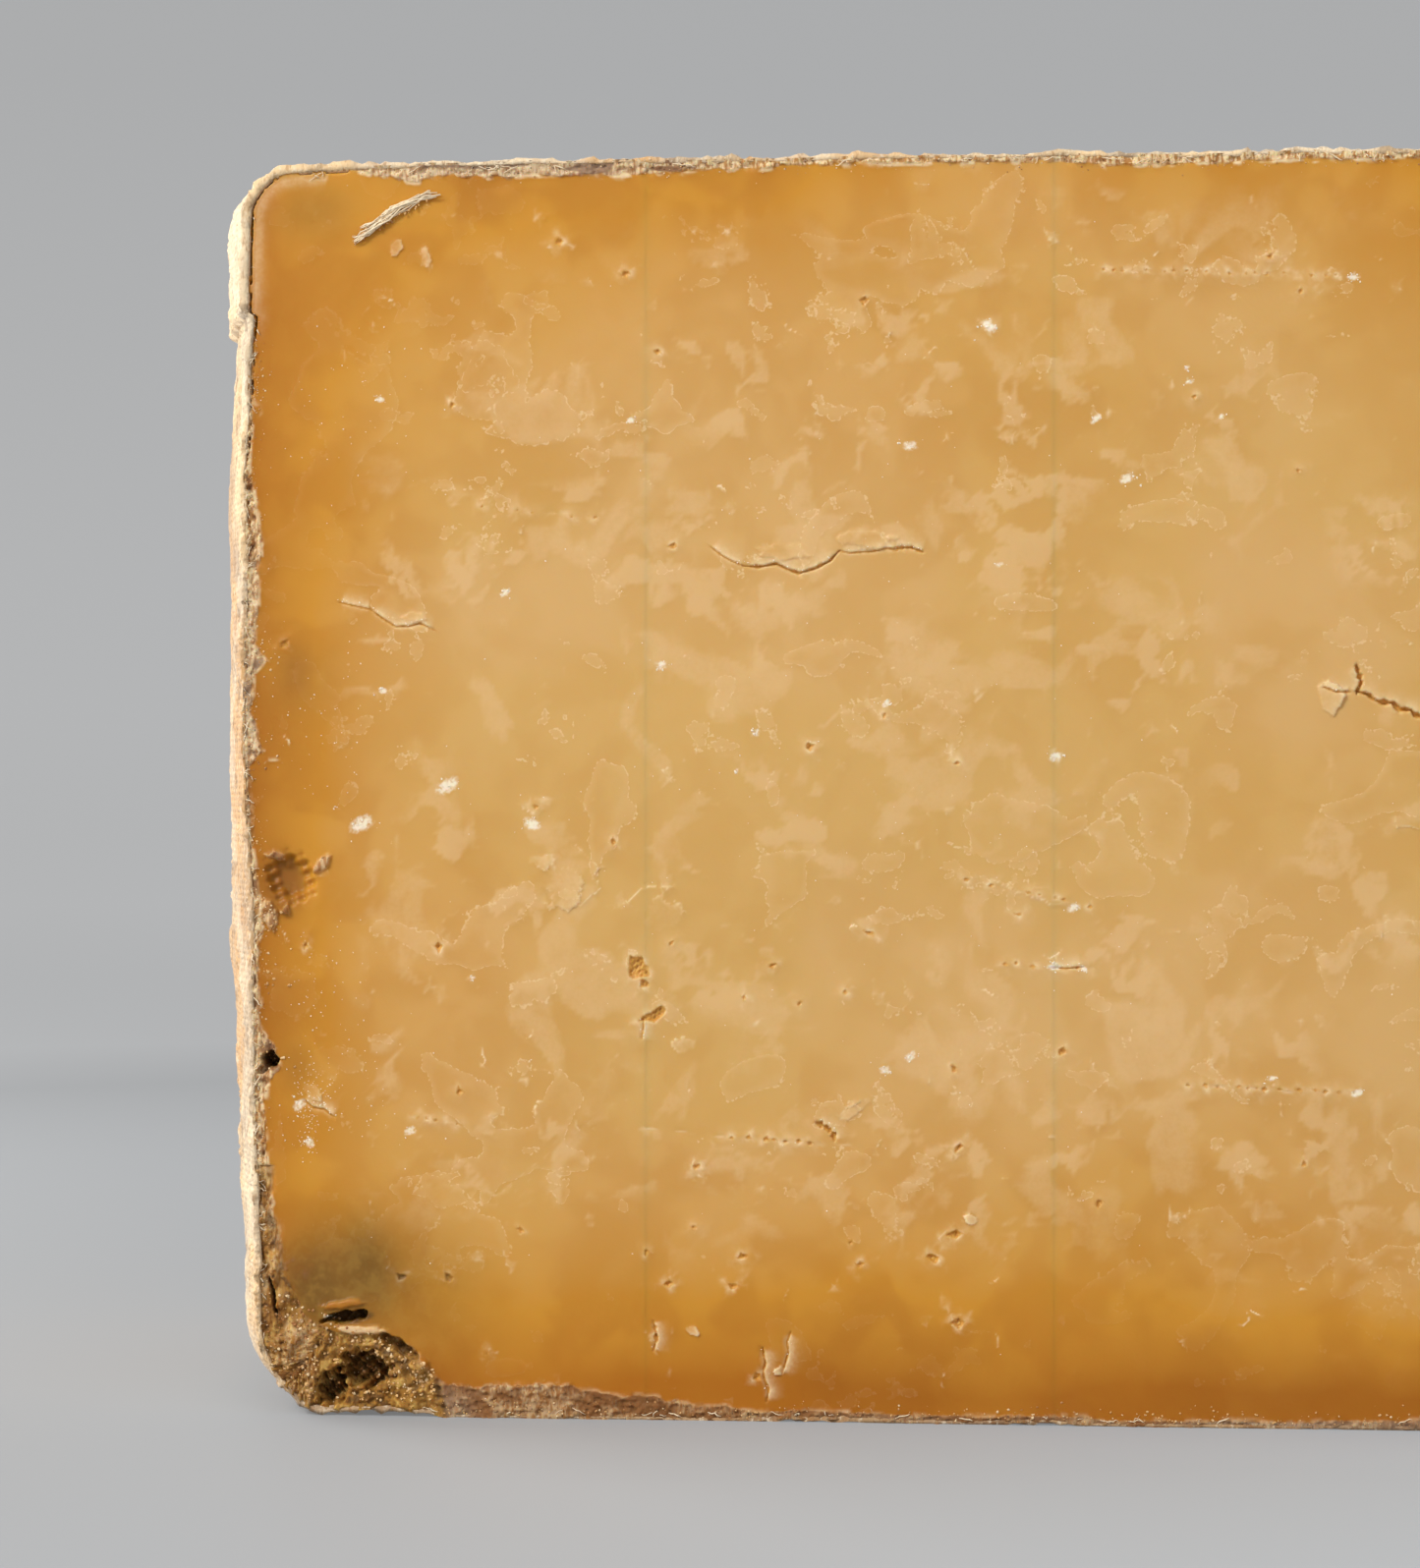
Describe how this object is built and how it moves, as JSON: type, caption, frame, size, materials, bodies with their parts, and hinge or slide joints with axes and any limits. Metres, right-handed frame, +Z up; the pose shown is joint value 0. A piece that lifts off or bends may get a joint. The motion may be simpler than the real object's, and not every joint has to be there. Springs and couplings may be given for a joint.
{
  "type": "cheddar block",
  "caption": "Thick block of clothbound cheddar cut straight across its wheel, with flat cut faces in front and behind and bound rind on the ends, top and base.",
  "frame": {"origin": "middle of the base, on the surface that the block stands on", "axes": "+X along the block's length, +Y from the front cut face to the back one, +Z up; the front cut face looks along -Y"},
  "size_m": [0.2305, 0.0807, 0.13],
  "materials": {
    "cheddar_paste": "dense mature paste, faintly waxy and translucent, with pale curd junctions and white crystals",
    "bound_rind": "cloth bandage soaked with fat and grown over with dry grey and tan mould"
  },
  "bodies": {
    "root": {"cheddar_block": "cheddar_paste"}
  },
  "joints": []
}
